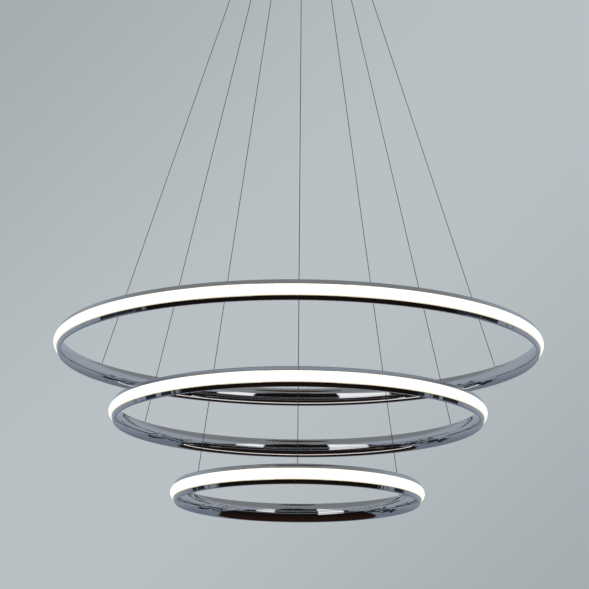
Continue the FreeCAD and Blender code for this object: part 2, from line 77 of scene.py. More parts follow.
IMAGE_SIDE = 589              # the photograph's width and height, in pixels
SENSOR_WIDTH = 36.0           # millimetres
TURN = 2 * math.pi
CREASE_ANGLE = math.radians(32)
CANOPY_BODY = "canopy"
WIRE_AZIMUTHS = {"front": -90.0, "right": 30.0, "left": 150.0}
MIX_COLOURS = (6, 7)          # a Mix node's two colour inputs
MIX_RESULT = 2                # and its colour output
NOISE_MIDDLE = 0.5
STRAND_SIDES = 5
STRAND_RADII_ACROSS = 6       # a wire of six strands round a seventh is three strands wide
RIB_SIDES = 6


def box_centre(node: str) -> Place:
    """The middle of a CAD node's box."""
    low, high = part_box(node)
    return tuple((first + last) / 2 for first, last in zip(low, high))


# ------------------------------------------------------------------ shader maths
class Sock:
    """A shader socket that takes part in Python arithmetic."""

    def __init__(self, shader: "Shader", socket: bpy.types.NodeSocket) -> None:
        """Wrap one output socket."""
        self.shader = shader
        self.socket = socket

    def __add__(self, other: Any) -> "Sock":
        """Sum."""
        return self.shader.maths("ADD", self, other)

    def __radd__(self, other: Any) -> "Sock":
        """Sum, reflected."""
        return self.shader.maths("ADD", other, self)

    def __sub__(self, other: Any) -> "Sock":
        """Difference."""
        return self.shader.maths("SUBTRACT", self, other)

    def __rsub__(self, other: Any) -> "Sock":
        """Difference, reflected."""
        return self.shader.maths("SUBTRACT", other, self)

    def __mul__(self, other: Any) -> "Sock":
        """Product."""
        return self.shader.maths("MULTIPLY", self, other)

    def __truediv__(self, other: Any) -> "Sock":
        """Quotient."""
        return self.shader.maths("DIVIDE", self, other)

    def __abs__(self) -> "Sock":
        """Absolute value."""
        return self.shader.maths("ABSOLUTE", self)

    def root(self) -> "Sock":
        """Square root."""
        return self.shader.maths("SQRT", self)

    def step(self, low: float, high: float) -> "Sock":
        """A smooth step from 0 at low to 1 at high."""
        node = self.shader.node(
            "ShaderNodeMapRange",
            {"Value": self, "From Min": low, "From Max": high},
            interpolation_type="SMOOTHSTEP",
        )
        return self.shader.out(node, "Result")

    def band(self, low: float, high: float, soft: float) -> "Sock":
        """A smooth band that is 1 between low and high."""
        return self.step(low - soft, low + soft) * (1.0 - self.step(high - soft, high + soft))


class Tree:
    """A node tree whose nodes are made from a type, inputs and settings."""

    def __init__(self, tree: bpy.types.NodeTree) -> None:
        """Keep the tree.

        Args:
            tree: the tree to fill.
        """
        self.tree = tree

    def feed(self, socket: bpy.types.NodeSocket, value: Any) -> None:
        """Link a socket's value into an input, or set a plain one there."""
        source = value.socket if isinstance(value, Sock) else value
        if isinstance(source, bpy.types.NodeSocket):
            self.tree.links.new(source, socket)
        else:
            socket.default_value = source

    def node(
        self, kind: str, inputs: dict[Any, Any] | None = None, **settings: Any
    ) -> bpy.types.Node:
        """Make a node.

        Args:
            kind: the node's type.
            inputs: values, or output sockets to link, by name or number.
            **settings: the node's own properties, set first.

        Returns:
            The new node.
        """
        made = self.tree.nodes.new(kind)
        for name, value in settings.items():
            setattr(made, name, value)
        for name, value in (inputs or {}).items():
            self.feed(made.inputs[name], value)
        return made


class Shader(Tree):
    """The node tree of one material or world."""

    def __init__(self, tree: bpy.types.NodeTree) -> None:
        """Clear the tree and keep it.

        Args:
            tree: the material's or world's node tree.
        """
        tree.nodes.clear()
        super().__init__(tree)

    def out(self, node: bpy.types.Node, name: Any = 0) -> Sock:
        """One output of a node, ready for arithmetic."""
        return Sock(self, node.outputs[name])

    def maths(self, operation: str, *values: Any) -> Sock:
        """One Math node on sockets and numbers."""
        return self.out(self.node("ShaderNodeMath", dict(enumerate(values)), operation=operation))

    def mix(self, share: Any, first: Any, second: Any) -> Sock:
        """Mix two colours.

        Args:
            share: 0 gives the first colour, 1 the second.
            first: a colour or a socket.
            second: a colour or a socket.

        Returns:
            The mixed colour.
        """
        made = self.node("ShaderNodeMix", {0: share}, data_type="RGBA")
        for place, value in zip(MIX_COLOURS, (first, second)):
            self.feed(made.inputs[place], value if isinstance(value, Sock) else (*value, 1.0))
        return self.out(made, MIX_RESULT)

    def split(self, vector: Sock) -> tuple[Sock, Sock, Sock]:
        """The three parts of a vector."""
        parts = self.node("ShaderNodeSeparateXYZ", {0: vector})
        return self.out(parts, 0), self.out(parts, 1), self.out(parts, 2)

    def join(self, x: Any, y: Any, z: Any) -> Sock:
        """A vector from its three parts."""
        return self.out(self.node("ShaderNodeCombineXYZ", {0: x, 1: y, 2: z}))

    def place(self) -> Sock:
        """Object coordinates, in metres."""
        return self.out(self.node("ShaderNodeTexCoord"), "Object")

    def noise(self, vector: Sock, scale: float, detail: float = 2.0) -> Sock:
        """Smooth noise between 0 and 1."""
        made = self.node("ShaderNodeTexNoise", {"Vector": vector, "Scale": scale, "Detail": detail})
        return self.out(made, "Fac")

    def bump(self, height: Sock, strength: float, distance: float) -> Sock:
        """A bumped normal from a height."""
        made = self.node(
            "ShaderNodeBump", {"Height": height, "Strength": strength, "Distance": distance}
        )
        return self.out(made)

    def surface(self, inputs: dict[str, Any]) -> None:
        """End the tree in a Principled surface with these inputs."""
        principled = self.node("ShaderNodeBsdfPrincipled", inputs)
        self.node("ShaderNodeOutputMaterial", {0: principled.outputs[0]})


# ------------------------------------------------------------------ finishes
@dataclass(frozen=True)
class Finish:
    """What every finish shares: its name and its base colour."""

    name: str
    colour: Colour

    def make(self) -> bpy.types.Material:
        """Make the material once and reuse it."""
        name = self.name + "_finish"
        found = bpy.data.materials.get(name)
        if found:
            return found
        material = bpy.data.materials.new(name)
        material.use_nodes = True
        self.dress(Shader(material.node_tree))
        return material

    def dress(self, shader: Shader) -> None:
        """Fill the material's tree. Each finish has its own."""
        raise NotImplementedError

    def dimmed(self, share: float) -> Colour:
        """The base colour times a share."""
        return tuple(part * share for part in self.colour)


@dataclass(frozen=True)
class BrightPlate(Finish):
    """Bright plating with faint rolling streaks round the lamp's axis and soft wiping marks."""

    sharpness: float = 0.01
    haze: float = 0.03
    streak_pitch: float = 0.0009
    streak_stretch: float = 3.0
    streak_haze: float = 0.008
    wipe_scale: float = 38.0
    wipe_span: Span = (0.5, 0.8)
    bloom_scale: float = 9.0
    bloom_span: Span = (0.3, 0.7)
    bloom_shade: float = 0.965
    bloom_strength: float = 0.3
    bloom_height: float = 0.0004

    def dress(self, shader: Shader) -> None:
        """Mirror metal whose roughness and normal vary a little."""
        place = shader.place()
        x, y, z = shader.split(place)
        angle = shader.maths("ARCTAN2", y, x)
        drawn = shader.join(angle * self.streak_stretch, z / self.streak_pitch, 0.0)
        streaks = shader.noise(drawn, scale=1.0, detail=3.0)
        wipes = shader.noise(place, self.wipe_scale, detail=4.0)
        blooms = shader.noise(place, self.bloom_scale, detail=1.0)
        haze = wipes.step(*self.wipe_span) * self.haze
        bloom = blooms.step(*self.bloom_span)
        shader.surface(
            {
                "Base Color": shader.mix(bloom, self.colour, self.dimmed(self.bloom_shade)),
                "Metallic": 1.0,
                "Roughness": self.sharpness + haze + streaks * self.streak_haze,
                "Normal": shader.bump(blooms, self.bloom_strength, self.bloom_height),
            }
        )


@dataclass(frozen=True)
class OpalGlow(Finish):
    """Lit opal plastic: white across the band, warmer and dimmer towards its two metal borders."""

    middle: float = 0.0
    half_window: float = 0.0086
    warm: Colour = (0.80, 0.70, 0.47)
    warm_span: Span = (0.80, 0.95)
    edge: Colour = (0.16, 0.13, 0.06)
    edge_span: Span = (0.93, 1.04)
    plastic: Colour = (0.80, 0.79, 0.75)
    clouded: Colour = (0.76, 0.75, 0.71)
    cloud_scale: float = 60.0
    cloud_span: Span = (0.3, 0.7)
    roughness: float = 0.42
    cloud_roughness: float = 0.08

    def dress(self, shader: Shader) -> None:
        """An emission that fades near the band's borders, over faintly clouded plastic."""
        place = shader.place()
        offset = abs(shader.split(place)[2] - self.middle) / self.half_window
        glow = shader.mix(offset.step(*self.warm_span), self.colour, self.warm)
        glow = shader.mix(offset.step(*self.edge_span), glow, self.edge)
        cloud = shader.noise(place, self.cloud_scale)
        shader.surface(
            {
                "Base Color": shader.mix(cloud.step(*self.cloud_span), self.plastic, self.clouded),
                "Roughness": self.roughness + cloud * self.cloud_roughness,
                "Emission Color": glow,
                "Emission Strength": 1.0,
            }
        )


@dataclass(frozen=True)
class DrawnSteel(Finish):
    """Drawn or plated steel with a fine grain that runs no particular way."""

    roughness: float = 0.32
    grain: float = 900.0
    grain_span: Span = (0.25, 0.75)
    grain_shade: float = 0.72
    grain_strength: float = 0.08
    grain_height: float = 0.00005
    broad_scale: float = 30.0
    broad_roughness: float = 0.12

    def dress(self, shader: Shader) -> None:
        """Grey metal with a fine grain in colour and roughness."""
        place = shader.place()
        fine = shader.noise(place, self.grain, detail=3.0)
        broad = shader.noise(place, self.broad_scale)
        dark = self.dimmed(self.grain_shade)
        shader.surface(
            {
                "Base Color": shader.mix(fine.step(*self.grain_span), dark, self.colour),
                "Metallic": 1.0,
                "Roughness": self.roughness + broad * self.broad_roughness,
                "Normal": shader.bump(fine, self.grain_strength, self.grain_height),
            }
        )


@dataclass(frozen=True)
class Moulded(Finish):
    """Moulded plastic or rubber with a fine spark-eroded texture."""

    roughness: float = 0.5
    texture: float = 1400.0
    texture_roughness: float = 0.1
    texture_strength: float = 0.15
    texture_height: float = 0.00004
    mottle_scale: float = 25.0
    mottle_span: Span = (0.35, 0.7)
    mottle_shade: float = 0.9

    def dress(self, shader: Shader) -> None:
        """A plain colour with slight mottling and a fine bump."""
        place = shader.place()
        fine = shader.noise(place, self.texture)
        mottle = shader.noise(place, self.mottle_scale, detail=3.0)
        shade = self.dimmed(self.mottle_shade)
        shader.surface(
            {
                "Base Color": shader.mix(mottle.step(*self.mottle_span), self.colour, shade),
                "Roughness": self.roughness + fine * self.texture_roughness,
                "Normal": shader.bump(fine, self.texture_strength, self.texture_height),
            }
        )


class Palette(Enum):
    """The finishes of the lamp's pieces, by the record's slot."""

    ring_chrome = BrightPlate("ring_chrome", (0.83, 0.835, 0.845))
    canopy_chrome = BrightPlate("canopy_chrome", (0.84, 0.845, 0.85), 0.03, 0.04)
    gripper_chrome = BrightPlate("gripper_chrome", (0.82, 0.82, 0.82), 0.06, 0.05)
    circuit_ribbon = Moulded("circuit_ribbon", (0.85, 0.85, 0.82), 0.4)
    led_package = Moulded("led_package", (0.86, 0.70, 0.16), 0.35)
    joint_aluminium = DrawnSteel("joint_aluminium", (0.72, 0.72, 0.73), 0.4, 500.0)
    zinc_steel = DrawnSteel("zinc_steel", (0.62, 0.63, 0.65), 0.3, 700.0)
    brass_screw = DrawnSteel("brass_screw", (0.72, 0.52, 0.22), 0.3, 700.0)
    sleeve_nickel = DrawnSteel("sleeve_nickel", (0.66, 0.64, 0.60), 0.24, 1200.0)
    wire_steel = DrawnSteel("wire_steel", (0.17, 0.155, 0.125), 0.42, 1500.0)
    soft_rubber = Moulded("soft_rubber", (0.02, 0.02, 0.02), 0.75, 800.0)
    pad_foam = Moulded("pad_foam", (0.70, 0.70, 0.69), 0.85, 500.0)
    terminal_plastic = Moulded("terminal_plastic", (0.80, 0.79, 0.74), 0.45)
    driver_plastic = Moulded("driver_plastic", (0.79, 0.80, 0.80), 0.5, 1100.0)

    def dress_node(self, node: str) -> None:
        """Give a CAD node this finish."""
        piece = frame["nodes"][node]
        piece.data.materials.clear()
        piece.data.materials.append(self.value.make())


# ------------------------------------------------------------------ geometry recipes
class Recipe(Tree):
    """A Geometry Nodes tree with named inputs, made into a plain mesh."""

    def __init__(self, name: str, sizes: dict[str, str]) -> None:
        """Start the tree.

        Args:
            name: the tree's name.
            sizes: each input's name and socket type, without "NodeSocket".
        """
        super().__init__(bpy.data.node_groups.new(name, "GeometryNodeTree"))
        self.socket("Geometry", "INPUT", "Geometry")
        self.ids = {size: self.socket(size, "INPUT", kind) for size, kind in sizes.items()}
        self.socket("Geometry", "OUTPUT", "Geometry")
        self.given = self.tree.nodes.new("NodeGroupInput")

    def socket(self, name: str, side: str, kind: str) -> str:
        """Add a socket to the tree's interface and give its identifier."""
        made = self.tree.interface.new_socket(
            name=name, in_out=side, socket_type="NodeSocket" + kind
        )
        return made.identifier

    def end(self, geometry: bpy.types.NodeSocket) -> None:
        """Realize, set the material and close the tree."""
        real = self.node("GeometryNodeRealizeInstances", {0: geometry})
        dressed = self.node(
            "GeometryNodeSetMaterial",
            {"Geometry": real.outputs[0], "Material": self.given.outputs["Material"]},
        )
        self.node("NodeGroupOutput", {0: dressed.outputs[0]})

    def cook(self, name: str, base: bpy.types.Mesh, values: dict[str, Any]) -> bpy.types.Object:
        """Run the tree on a base mesh.

        Args:
            name: the new piece's name.
            base: the mesh that goes in.
            values: each input's value.

        Returns:
            A plain mesh object at the origin.
        """
        holder = bpy.data.objects.new(name + "_base", base)
        bpy.context.scene.collection.objects.link(holder)
        modifier = holder.modifiers.new("recipe", "NODES")
        modifier.node_group = self.tree
        for size, value in values.items():
            modifier[self.ids[size]] = value
        bpy.context.view_layer.update()
        depsgraph = bpy.context.evaluated_depsgraph_get()
        mesh = bpy.data.meshes.new_from_object(holder.evaluated_get(depsgraph))
        bpy.data.objects.remove(holder)
        mesh.name = name
        return finished(name, mesh)


def finished(name: str, mesh: bpy.types.Mesh) -> bpy.types.Object:
    """Link a mesh as a smooth-shaded object with its true edges kept sharp."""
    piece = bpy.data.objects.new(name, mesh)
    bpy.context.scene.collection.objects.link(piece)
    mesh.shade_smooth()
    mesh.set_sharp_from_angle(angle=CREASE_ANGLE)
    return piece


def loop_mesh(name: str, points: Sequence[Point]) -> bpy.types.Mesh:
    """A closed outline of edges in the XY plane."""
    mesh = bpy.data.meshes.new(name)
    count = len(points)
    edges = [(index, (index + 1) % count) for index in range(count)]
    mesh.from_pydata([(x, y, 0.0) for x, y in points], edges, [])
    return mesh


def ring_recipe() -> Recipe:
    """A section swept round a circle."""
    recipe = Recipe("swept_ring", {"Radius": "Float", "Segments": "Int", "Material": "Material"})
    given = recipe.given.outputs
    circle = recipe.node(
        "GeometryNodeCurvePrimitiveCircle",
        {"Resolution": given["Segments"], "Radius": given["Radius"]},
    )
    upright = recipe.node("GeometryNodeSetCurveNormal", {"Curve": circle.outputs[0]})
    upright.mode = "Z_UP"
    section = recipe.node("GeometryNodeMeshToCurve", {0: given["Geometry"]})
    swept = recipe.node(
        "GeometryNodeCurveToMesh",
        {"Curve": upright.outputs[0], "Profile Curve": section.outputs[0]},
    )
    recipe.end(swept.outputs[0])
    return recipe


def strand_recipe() -> Recipe:
    """Strands laid round a core, standing upright on the origin."""
    sizes = {
        "Length": "Float",
        "Strand Radius": "Float",
        "Turns": "Float",
        "Steps": "Int",
        "Strands": "Int",
        "Material": "Material",
    }
    recipe = Recipe("laid_wire", sizes)
    given = recipe.given.outputs
    thin = given["Strand Radius"]
    lay = recipe.node("ShaderNodeMath", {0: thin, 1: 2.0}, operation="MULTIPLY")
    helix = recipe.node(
        "GeometryNodeCurveSpiral",
        {
            "Resolution": given["Steps"],
            "Rotations": given["Turns"],
            "Start Radius": lay.outputs[0],
            "End Radius": lay.outputs[0],
            "Height": given["Length"],
        },
    )
    round_section = recipe.node(
        "GeometryNodeCurvePrimitiveCircle", {"Resolution": STRAND_SIDES, "Radius": thin}
    )
    top = recipe.node("ShaderNodeCombineXYZ", {"Z": given["Length"]})
    axis = recipe.node("GeometryNodeCurvePrimitiveLine", {"End": top.outputs[0]})
    strand, core = (
        recipe.node(
            "GeometryNodeCurveToMesh",
            {
                "Curve": path.outputs[0],
                "Profile Curve": round_section.outputs[0],
                "Fill Caps": True,
            },
        )
        for path in (helix, axis)
    )
    places = recipe.node("GeometryNodePoints", {"Count": given["Strands"]})
    share = recipe.node("ShaderNodeMath", {0: TURN, 1: given["Strands"]}, operation="DIVIDE")
    index = recipe.node("GeometryNodeInputIndex")
    angle = recipe.node(
        "ShaderNodeMath", {0: index.outputs[0], 1: share.outputs[0]}, operation="MULTIPLY"
    )
    turn = recipe.node("ShaderNodeCombineXYZ", {"Z": angle.outputs[0]})
    around = recipe.node(
        "GeometryNodeInstanceOnPoints",
        {"Points": places.outputs[0], "Instance": strand.outputs[0], "Rotation": turn.outputs[0]},
    )
    joined = recipe.node("GeometryNodeJoinGeometry")
    recipe.tree.links.new(around.outputs[0], joined.inputs[0])
    recipe.tree.links.new(core.outputs[0], joined.inputs[0])
    recipe.end(joined.outputs[0])
    return recipe


def knurl_recipe() -> Recipe:
    """Upright ribs spaced evenly round the Z axis at each point of the base mesh."""
    sizes = {
        "Ring Radius": "Float",
        "Rib Width": "Float",
        "Rib Height": "Float",
        "Ribs": "Int",
        "Material": "Material",
    }
    recipe = Recipe("knurled_band", sizes)
    given = recipe.given.outputs
    circle = recipe.node(
        "GeometryNodeMeshCircle", {"Vertices": given["Ribs"], "Radius": given["Ring Radius"]}
    )
    section = recipe.node(
        "GeometryNodeMeshCircle",
        {"Vertices": RIB_SIDES, "Radius": given["Rib Width"]},
        fill_type="NGON",
    )
    rise = recipe.node("ShaderNodeCombineXYZ", {"Z": given["Rib Height"]})
    line = recipe.node("GeometryNodeCurvePrimitiveLine", {"End": rise.outputs[0]})
    outline = recipe.node("GeometryNodeMeshToCurve", {0: section.outputs[0]})
    rib = recipe.node(
        "GeometryNodeCurveToMesh",
        {"Curve": line.outputs[0], "Profile Curve": outline.outputs[0], "Fill Caps": True},
    )
    ribs = recipe.node(
        "GeometryNodeInstanceOnPoints", {"Points": circle.outputs[0], "Instance": rib.outputs[0]}
    )
    bands = recipe.node(
        "GeometryNodeInstanceOnPoints", {"Points": given["Geometry"], "Instance": ribs.outputs[0]}
    )
    recipe.end(bands.outputs[0])
    return recipe


# ------------------------------------------------------------------ rings
@dataclass(frozen=True)
class RingSection:
    """The channel and diffuser sections. Insets run inwards from the ring's largest radius."""

    height: float = 0.0312
    depth: float = 0.0156
    rim_inset: float = 0.0049
    window: float = 0.0172
    crest_inset: float = 0.0086
    crest_radius: float = 0.002
    floor_inset: float = 0.0102
    fit: float = 0.0001
    diffuser_wall: float = 0.0016
    leg_share: float = 0.75
    leg_depth: float = 0.0031
    rim_round: float = 0.00035
    rim_ease: float = 0.3
    rim_lean: float = 0.4
    support: float = 0.0002
    arc_steps: int = 14
    corner_steps: int = 5

    @property
    def crest_height(self) -> float:
        """Height of a crest's centre above the ring's middle."""
        return self.height / 2 - self.crest_radius

    def inner_radius(self) -> float:
        """Radius of the rounded inner face, tangent to both rounded edges."""
        reach = self.depth - self.crest_inset
        squares = self.crest_height**2 + reach**2 - self.crest_radius**2
        return squares / (2 * (reach - self.crest_radius))

    def upper_half(self) -> list[Point]:
        """The channel's outline from the rim's inner corner to the middle of the inner face.

        Returns:
            Points as (inset, height above the middle).
        """
        half = self.window / 2
        rise = self.crest_height
        across = self.crest_inset - self.rim_inset
        climb = rise - half
        chord = math.hypot(across, climb)
        swing = math.asin(self.crest_radius / chord)
        slope = math.atan2(climb, across) + swing
        run = chord * math.cos(swing)
        radius = self.inner_radius()
        centre = self.depth - radius
        lean = math.atan2(rise, self.crest_inset - centre)
        eased = self.rim_round * (self.rim_ease + math.cos(slope) * self.rim_lean)
        points = [
            (self.rim_inset + self.rim_round, half),
            (self.rim_inset + eased, half + self.rim_round * self.rim_ease),
        ]
        for along in (self.rim_round, self.rim_round + self.support, run - self.support):
            inset = self.rim_inset + along * math.cos(slope)
            points.append((inset, half + along * math.sin(slope)))
        start = slope + math.pi / 2
        for step in range(self.corner_steps + 1):
            angle = start + (lean - start) * step / self.corner_steps
            inset = self.crest_inset + self.crest_radius * math.cos(angle)
            points.append((inset, rise + self.crest_radius * math.sin(angle)))
        for step in range(1, self.arc_steps + 1):
            angle = lean * (1 - step / self.arc_steps)
            points.append((centre + radius * math.cos(angle), radius * math.sin(angle)))
        return points

    def channel(self) -> list[Point]:
        """The channel's closed outline with its light pocket."""
        upper = self.upper_half()
        lower = [(inset, -height) for inset, height in reversed(upper[:-1])]
        pocket = [(self.floor_inset, -self.window / 2), (self.floor_inset, self.window / 2)]
        return upper + lower + pocket

    def diffuser(self) -> list[Point]:
        """The opal profile's closed outline: a round bulge on two short legs."""
        half = self.window / 2 - self.fit
        bulge = (half**2 + self.rim_inset**2) / (2 * self.rim_inset)
        inside = bulge - self.diffuser_wall
        outer_lean = math.asin(half / bulge)
        leg = half - self.diffuser_wall * self.leg_share
        inner_lean = math.asin(leg / inside)
        points = []
        for step in range(2 * self.arc_steps + 1):
            angle = outer_lean * (1 - step / self.arc_steps)
            points.append((bulge - bulge * math.cos(angle), bulge * math.sin(angle)))
        foot = self.rim_inset + self.leg_depth
        points += [(foot, -half), (foot, -leg)]
        for step in range(2 * self.corner_steps + 1):
            angle = inner_lean * (step / self.corner_steps - 1)
            points.append((bulge - inside * math.cos(angle), inside * math.sin(angle)))
        points += [(foot, leg), (foot, half)]
        return points


@dataclass
class LightRing:
    """One ring: its chromed channel, its lit diffuser and what it holds."""

    name: str
    sweep: Recipe
    section: RingSection = field(default_factory=RingSection)
    segments: int = 300
    lit_white: Colour = (1.0, 0.992, 0.955)

    DRESS = {
        "led_strip": Palette.circuit_ribbon,
        "led_chips": Palette.led_package,
        "joint_key": Palette.joint_aluminium,
        "key_screws": Palette.zinc_steel,
        "wire_ferrules": Palette.gripper_chrome,
    }

    @property
    def body(self) -> str:
        """The CAD body that the ring's pieces ride on."""
        return self.name + "_ring"

    @property
    def middle(self) -> float:
        """Height of the ring's middle plane."""
        return box_centre(self.name + "_channel")[2]

    @property
    def radius(self) -> float:
        """The ring's largest radius, at the diffuser's crown."""
        low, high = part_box(self.name + "_diffuser")
        return (high[0] - low[0]) / 2

    def swept(self, part: str, outline: Iterable[Point], finish: Finish) -> bpy.types.Object:
        """Sweep an outline round the ring and put it at its height.

        Args:
            part: the piece's name after the ring's.
            outline: points as (inset, height).
            finish: the piece's finish.

        Returns:
            The finished piece, riding on the ring.
        """
        points = [(-inset, height) for inset, height in outline]
        base = loop_mesh(part, points)
        values = {"Radius": self.radius, "Segments": self.segments, "Material": finish.make()}
        piece = self.sweep.cook(f"{self.name}_{part}_surface", base, values)
        piece.data.transform(Matrix.Translation((0.0, 0.0, self.middle)))
        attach(piece, self.body)
        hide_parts(f"{self.name}_{part}")
        return piece

    def build(self) -> None:
        """Make the ring's pieces and dress the nodes that it keeps."""
        channel = self.swept("channel", self.section.channel(), Palette.ring_chrome.value)
        half_window = self.section.window / 2
        glow = OpalGlow(self.name + "_opal", self.lit_white, self.middle, half_window)
        diffuser = self.swept("diffuser", self.section.diffuser(), glow)
        for part, finish in self.DRESS.items():
            finish.dress_node(f"{self.name}_{part}")
        LOG.info("%s ring: radius %.4f m, middle %.4f m", self.name, self.radius, self.middle)


# ------------------------------------------------------------------ wires
@dataclass
class WireSet:
    """The three taut wires of one ring, with their tails in the canopy."""

    ring: str
    lay: Recipe
    diameter: float = 0.0012
    strands: int = 6
    pitch: float = 0.012
    steps_per_turn: int = 6

    def end_points(self, side: str) -> tuple[Vector, Vector, float]:
        """Where a wire leaves its ring and where it enters its gripper.

        Args:
            side: front, right or left.

        Returns:
            The foot, the exit and the height of the tail's top.
        """
        low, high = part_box(f"{self.ring}_wire_{side}")
        angle = math.radians(WIRE_AZIMUTHS[side])
        outward = Vector((math.cos(angle), math.sin(angle), 0.0))
        sleeve = f"{self.ring}_release_sleeve_{side}"
        x, y, _ = box_centre(sleeve)
        exit_point = Vector((x, y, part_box(sleeve)[0][2]))
        # the foot's rim touches the box's y face at the front, and its x faces at the other two
        axis = 1 if side == "front" else 0
        edge = (high if outward[axis] > 0 else low)[axis]
        reach = (abs(edge) - self.diameter / 2) / abs(outward[axis])
        foot = outward * reach
        foot.z = low[2]
        return foot, exit_point, high[2]

    def strand_mesh(self, name: str, foot: Vector, top: Vector) -> bpy.types.Object:
        """A laid wire between two points, with level ends."""
        length = top.z - foot.z
        turns = length / self.pitch
        values = {
            "Length": length,
            "Strand Radius": self.diameter / STRAND_RADII_ACROSS,
            "Turns": turns,
            "Steps": self.steps_per_turn,
            "Strands": self.strands,
            "Material": Palette.wire_steel.value.make(),
        }
        piece = self.lay.cook(name, bpy.data.meshes.new(name + "_seed"), values)
        lean = (top - foot) / length
        shear = Matrix(
            ((1, 0, lean.x, foot.x), (0, 1, lean.y, foot.y), (0, 0, 1, foot.z), (0, 0, 0, 1))
        )
        piece.data.transform(shear)
        return piece

    def build(self) -> None:
        """Make the three wires and their tails."""
        joint = next(one for one in frame["joints"] if one["name"] == self.ring + "_ring_height")
        travel = max(abs(limit) for limit in joint["range_m"])
        for side in WIRE_AZIMUTHS:
            foot, exit_point, tail_top = self.end_points(side)
            wire = self.strand_mesh(f"{self.ring}_wire_{side}_strands", foot, exit_point)
            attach(wire, CANOPY_BODY)
            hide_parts(f"{self.ring}_wire_{side}")
            span = exit_point.z - foot.z
            (span - travel) / span
            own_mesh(wire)
            top = exit_point.copy()
            top.z = tail_top
            tail = self.strand_mesh(f"{self.ring}_wire_tail_{side}", exit_point, top)
            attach(tail, CANOPY_BODY)
            LOG.info("%s %s wire: %.3f m", self.ring, side, (exit_point - foot).length)


# ------------------------------------------------------------------ canopy
@dataclass
class Canopy:
    """The ceiling canopy with its bracket, grippers, drivers and fasteners."""

    knurl: Recipe
    rib_width: float = 0.00022
    ribs: int = 28
    band_height: float = 0.006
    band_lift: float = 0.004

    DRESS = {
        "ceiling_bracket": Palette.zinc_steel,
        "canopy_cover": Palette.canopy_chrome,
        "cover_studs": Palette.zinc_steel,
        "stud_nuts": Palette.zinc_steel,
        "cap_nuts": Palette.canopy_chrome,
        "gripper_nuts": Palette.zinc_steel,
        "mains_grommet": Palette.soft_rubber,
        "terminal_block": Palette.terminal_plastic,
        "terminal_screws": Palette.zinc_steel,
        "earth_screw": Palette.brass_screw,
        "driver_pads": Palette.pad_foam,
        "big_driver": Palette.driver_plastic,
        "medium_driver": Palette.driver_plastic,
        "small_driver": Palette.driver_plastic,
        "big_gripper_bodies": Palette.gripper_chrome,
        "medium_gripper_bodies": Palette.gripper_chrome,
        "small_gripper_bodies": Palette.gripper_chrome,
    }

    def knurled_bands(self, rings: Sequence[str]) -> None:
        """A knurled band round every gripper's barrel."""
        places = []
        for ring in rings:
            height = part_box(f"{ring}_gripper_bodies")[0][2] + self.band_lift
            for side in WIRE_AZIMUTHS:
                x, y, _ = box_centre(f"{ring}_release_sleeve_{side}")
                places.append((x, y, height))
        base = bpy.data.meshes.new("gripper_places")
        base.from_pydata(places, [], [])
        axis_y = box_centre("big_release_sleeve_front")[1]
        values = {
            "Ring Radius": axis_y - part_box("big_gripper_bodies")[0][1],
            "Rib Width": self.rib_width,
            "Rib Height": self.band_height,
            "Ribs": self.ribs,
            "Material": Palette.gripper_chrome.value.make(),
        }
        bands = self.knurl.cook("gripper_knurls", base, values)
        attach(bands, CANOPY_BODY)

    def build(self, rings: Sequence[str]) -> None:
        """Dress the canopy's nodes and add its fine details."""
        for node, finish in self.DRESS.items():
            finish.dress_node(node)
        for ring in rings:
            for side in WIRE_AZIMUTHS:
                Palette.sleeve_nickel.dress_node(f"{ring}_release_sleeve_{side}")
        self.knurled_bands(rings)
        grippers = len(WIRE_AZIMUTHS) * len(rings)
        LOG.info("canopy: %d dressed nodes and %d knurled grippers", len(self.DRESS), grippers)


# ------------------------------------------------------------------ studio
@dataclass(frozen=True)
class Blend:
    """Two colours and the stretch over which the first passes into the second."""

    span: Span
    first: Colour
    second: Colour

    def at(self, shader: Shader, place: Sock) -> Sock:
        """The blended colour at a place."""
        return shader.mix(place.step(*self.span), self.first, self.second)


@dataclass(frozen=True)
class Patch:
    """A soft-edged patch of the mirrored room."""

    sides: Span
    side_blur: float
    ends: Span
    end_blur: float
    lean: float

    def cover(self, across: Sock, up: Sock, bend: Sock) -> Sock:
        """How much the patch covers a direction.

        Args:
            across: the direction's place between the patch's sides.
            up: its place between the patch's ends.
            bend: what leans or bends the ends.

        Returns:
            From 0 to 1.
        """
        ends = (up + bend * self.lean).band(*self.ends, self.end_blur)
        return across.band(*self.sides, self.side_blur) * ends


